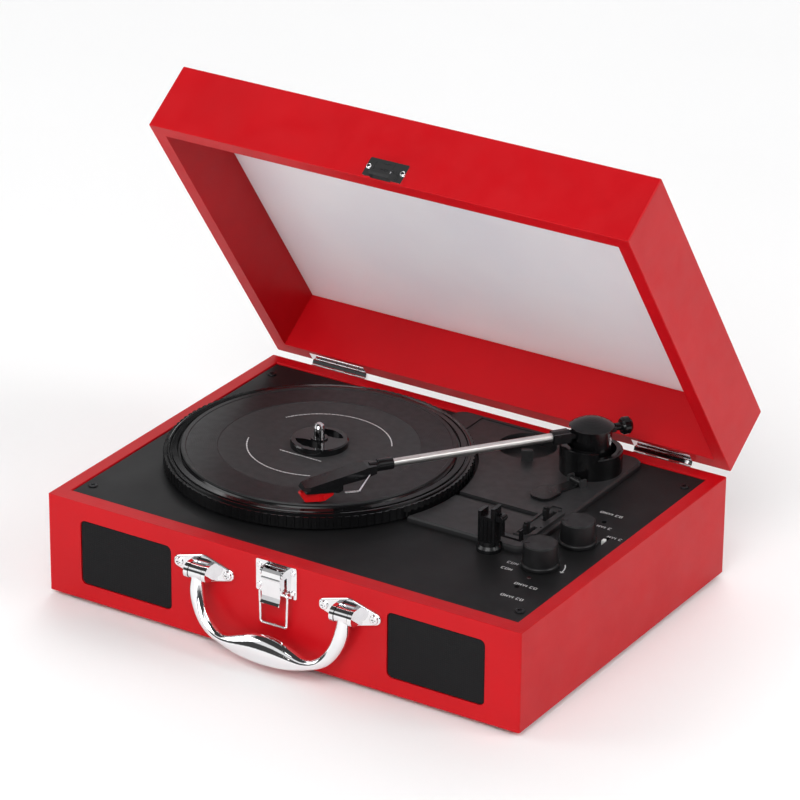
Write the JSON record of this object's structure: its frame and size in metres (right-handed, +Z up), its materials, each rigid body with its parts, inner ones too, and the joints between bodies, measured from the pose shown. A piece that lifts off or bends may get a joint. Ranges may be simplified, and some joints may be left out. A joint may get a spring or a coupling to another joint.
{
  "type": "suitcase record player",
  "caption": "Portable record player in a wrapped wooden case with a hinged lid, platter, tonearm, front speakers, draw latch and carrying handle.",
  "frame": {"origin": "centre of the case's footprint, on the plane that the feet stand on", "axes": "+X to the right along the front, +Y to the back, +Z up"},
  "size_m": [0.35, 0.3233, 0.3117],
  "materials": {
    "case_wrap": "board wrapped in red satin vinyl with a fine grain",
    "board": "painted board",
    "liner": "white satin cloth over thin card",
    "grille_cloth": "black speaker cloth over a board",
    "deck_black": "fine-textured black",
    "plate_black": "satin black moulding",
    "gloss_black": "glossy black moulding",
    "arm_black": "semi-gloss black moulding",
    "knob_black": "satin black moulding",
    "mat_rubber": "black, with two bands of a different sheen",
    "adapter_black": "glossy black moulding",
    "belt_rubber": "smooth flat belt",
    "foot_rubber": "black rubber",
    "chrome_fittings": "polished chrome plate",
    "spindle_steel": "polished steel",
    "arm_aluminium": "satin drawn tube",
    "lift_wire": "polished wire",
    "stylus_red": "red moulded holder",
    "slider_white": "white moulding",
    "led_red": "tinted lens",
    "black_screws": "blackened steel",
    "speaker_steel": "plated steel",
    "speaker_paper": "pressed paper",
    "bush_brass": "turned brass",
    "pulley_plastic": "moulded",
    "board_green": "circuit board",
    "socket_black": "black moulding",
    "socket_metal": "plated shells"
  },
  "bodies": {
    "case": {"case_shell": "case_wrap", "bottom_panel": "board", "deck_battens": "board", "deck_plate": "deck_black", "deck_screws": "black_screws", "bottom_screws": "black_screws", "feet": "foot_rubber", "grille_left": "grille_cloth", "grille_right": "grille_cloth", "speaker_baskets": "speaker_steel", "speaker_cones": "speaker_paper", "speaker_magnets": "speaker_steel", "mechanism_plate": "plate_black", "switch_tray": "plate_black", "drive_motor": "speaker_steel", "drive_belt": "belt_rubber", "bearing_bush": "bush_brass", "potentiometers": "speaker_steel", "jack_sockets": "socket_black", "power_led": "led_red", "amplifier_board": "board_green", "jack_panel": "socket_black", "rca_sockets": "socket_metal", "dc_inlet": "socket_black", "tonearm_base": "gloss_black", "arm_rest": "arm_black", "hinge_base_leaves": "chrome_fittings", "fitting_screws": "chrome_fittings", "handle_brackets": "chrome_fittings", "pivot_pins": "chrome_fittings", "latch_plate": "chrome_fittings"},
    "lid": {"lid_shell": "case_wrap", "lid_liner": "liner", "lid_catch": "chrome_fittings", "lid_screws": "chrome_fittings", "hinge_lid_leaves": "chrome_fittings"},
    "platter": {"platter": "gloss_black", "platter_ring": "gloss_black", "platter_mat": "mat_rubber", "spindle": "spindle_steel"},
    "single_adapter": {"single_adapter": "adapter_black"},
    "motor_pulley": {"motor_pulley": "pulley_plastic"},
    "tonearm_turret": {"tonearm_turret": "gloss_black"},
    "tonearm": {"tonearm_carrier": "arm_black", "tonearm_tube": "arm_aluminium", "counterweight": "gloss_black", "headshell": "arm_black", "cartridge": "arm_black", "stylus": "stylus_red", "finger_lift": "lift_wire"},
    "cue_lever": {"cue_lever": "arm_black"},
    "rest_clip": {"rest_clip": "arm_black"},
    "speed_lever": {"speed_lever": "knob_black"},
    "auto_stop_lever": {"auto_stop_lever": "knob_black"},
    "volume_knob": {"volume_knob": "knob_black"},
    "tone_knob": {"tone_knob": "knob_black"},
    "function_slider": {"function_slider": "slider_white"},
    "handle": {"handle": "chrome_fittings"},
    "latch_lever": {"latch_lever": "chrome_fittings"},
    "latch_bail": {"latch_bail": "chrome_fittings"}
  },
  "joints": [
    {"name": "lid_hinge", "type": "hinge", "parent": "case", "child": "lid", "pos_m": [0, 0.133, 0.067], "axis": [-1, 0, 0], "range_deg": [-55.2, 39.8]},
    {"name": "platter_spin", "type": "hinge", "parent": "case", "child": "platter", "pos_m": [-0.057, 0.0055, 0.0705], "axis": [0, 0, 1], "continuous": true},
    {"name": "adapter_lift_off", "type": "slide", "parent": "platter", "child": "single_adapter", "axis": [0, 0, 1], "range_m": [0, 0.03]},
    {"name": "pulley_spin", "type": "hinge", "parent": "case", "child": "motor_pulley", "pos_m": [-0.11982, 0.05821, 0.0705], "axis": [0, 0, 1], "continuous": true},
    {"name": "arm_swing", "type": "hinge", "parent": "case", "child": "tonearm_turret", "pos_m": [0.0982, 0.0867, 0.101], "axis": [0, 0, 1], "range_deg": [-11, 37]},
    {"name": "arm_lift", "type": "hinge", "parent": "tonearm_turret", "child": "tonearm", "pos_m": [0.0982, 0.0867, 0.101], "axis": [-0.8049, 0.5934, 0], "range_deg": [0, 10]},
    {"name": "cue_turn", "type": "hinge", "parent": "case", "child": "cue_lever", "pos_m": [0.1028, 0.061, 0.0771], "axis": [-0.9397, 0.342, 0], "range_deg": [0, 50]},
    {"name": "clip_turn", "type": "hinge", "parent": "case", "child": "rest_clip", "pos_m": [0.1089, -0.0415, 0.0945], "axis": [0, -1, 0], "range_deg": [0, 180]},
    {"name": "speed_slide", "type": "slide", "parent": "case", "child": "speed_lever", "axis": [0, 1, 0], "range_m": [0, 0.0085]},
    {"name": "auto_stop_slide", "type": "slide", "parent": "case", "child": "auto_stop_lever", "axis": [0, 1, 0], "range_m": [0, 0.0085]},
    {"name": "volume_turn", "type": "hinge", "parent": "case", "child": "volume_knob", "pos_m": [0.1377, -0.044, 0.0705], "axis": [0, 0, -1], "range_deg": [-10, 290]},
    {"name": "tone_turn", "type": "hinge", "parent": "case", "child": "tone_knob", "pos_m": [0.1416, -0.0043, 0.0705], "axis": [0, 0, -1], "range_deg": [-10, 290]},
    {"name": "function_slide", "type": "slide", "parent": "case", "child": "function_slider", "axis": [0, 1, 0], "range_m": [-0.0038, 0.0038]},
    {"name": "handle_swing", "type": "hinge", "parent": "case", "child": "handle", "pos_m": [0, -0.1365, 0.0525], "axis": [1, 0, 0], "range_deg": [-140, 0]},
    {"name": "latch_turn", "type": "hinge", "parent": "case", "child": "latch_lever", "pos_m": [0, -0.1336, 0.0655], "axis": [-1, 0, 0], "range_deg": [0, 120]},
    {"name": "bail_turn", "type": "hinge", "parent": "latch_lever", "child": "latch_bail", "pos_m": [0, -0.1332, 0.0516], "axis": [1, 0, 0], "range_deg": [-183, 0]}
  ],
  "couplings": [
    {"joint": "pulley_spin", "follows": "platter_spin", "ratio": 10},
    {"joint": "cue_turn", "follows": "arm_lift", "ratio": 5}
  ]
}
